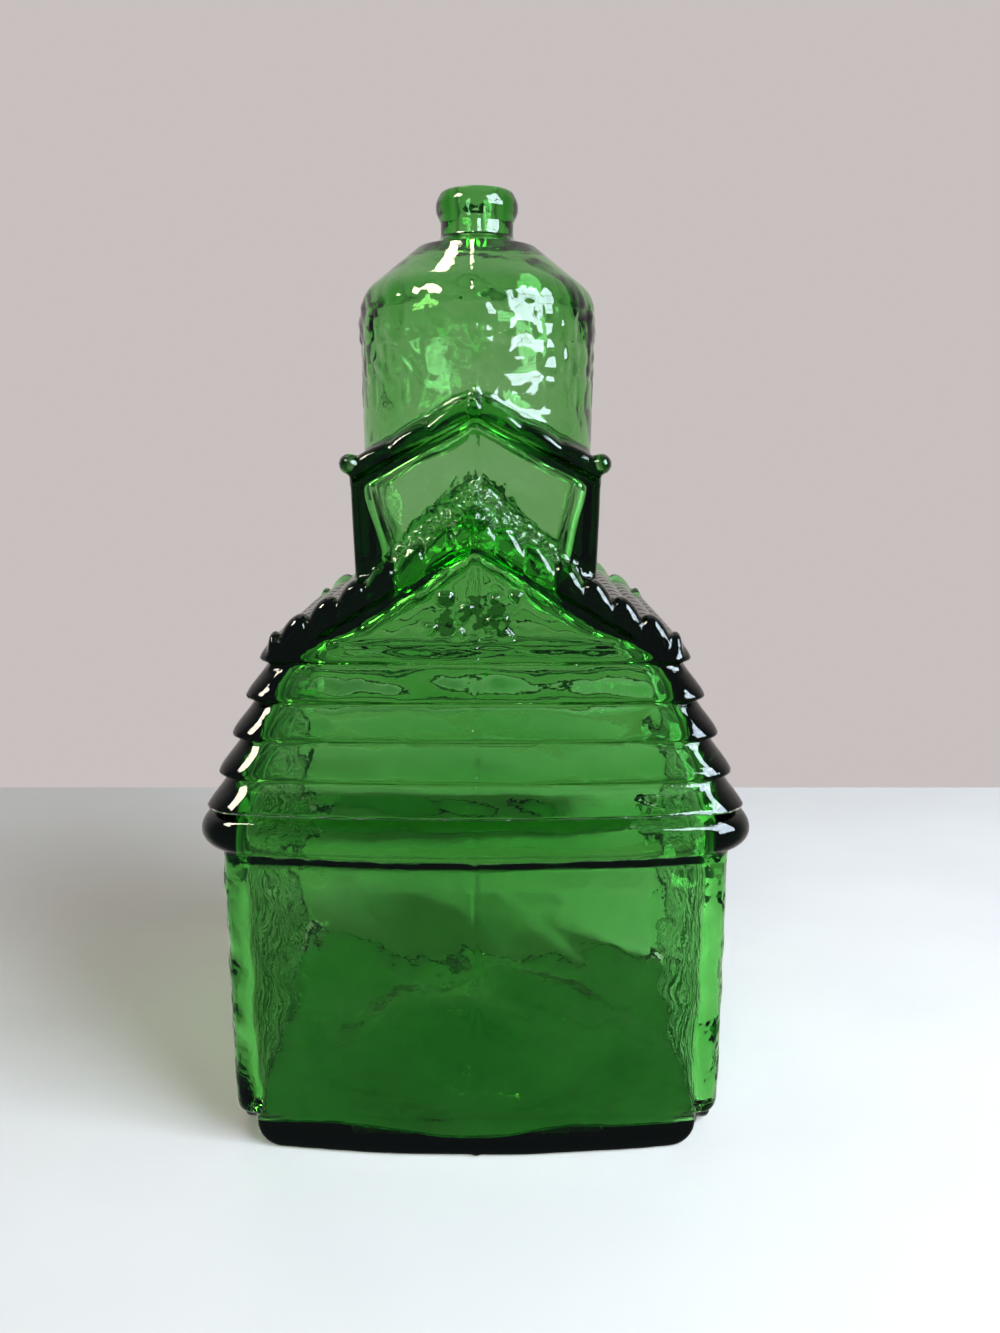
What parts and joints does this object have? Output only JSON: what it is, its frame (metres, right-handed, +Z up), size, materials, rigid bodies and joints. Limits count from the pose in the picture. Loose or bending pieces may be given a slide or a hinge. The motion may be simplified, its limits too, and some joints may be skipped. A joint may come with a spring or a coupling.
{
  "type": "figural glass bottle",
  "caption": "Green glass bottle in the shape of a gabled house with stepped roofs, a round tower as its shoulder, and a small open lipped mouth.",
  "frame": {"origin": "middle of the footprint, on the surface that the bottle stands on", "axes": "+Z up through the mouth, +X to the right seen from the front, -Y out of the front gable"},
  "size_m": [0.0982, 0.094, 0.1793],
  "materials": {
    "glass": "gloss"
  },
  "bodies": {
    "root": {"base": "glass", "wall_front": "glass", "wall_back": "glass", "wall_left": "glass", "wall_right": "glass", "corner_front_left": "glass", "corner_front_right": "glass", "corner_back_left": "glass", "corner_back_right": "glass", "eave_front": "glass", "eave_back": "glass", "eave_left": "glass", "eave_right": "glass", "mansard_front": "glass", "mansard_back": "glass", "mansard_left": "glass", "mansard_right": "glass", "gable_front": "glass", "gable_back": "glass", "roof_left": "glass", "roof_right": "glass", "flare_front": "glass", "flare_back": "glass", "storey_front": "glass", "storey_back": "glass", "storey_left": "glass", "storey_right": "glass", "storey_roof": "glass", "tower": "glass", "shoulder": "glass", "neck": "glass", "lip": "glass"}
  },
  "joints": []
}
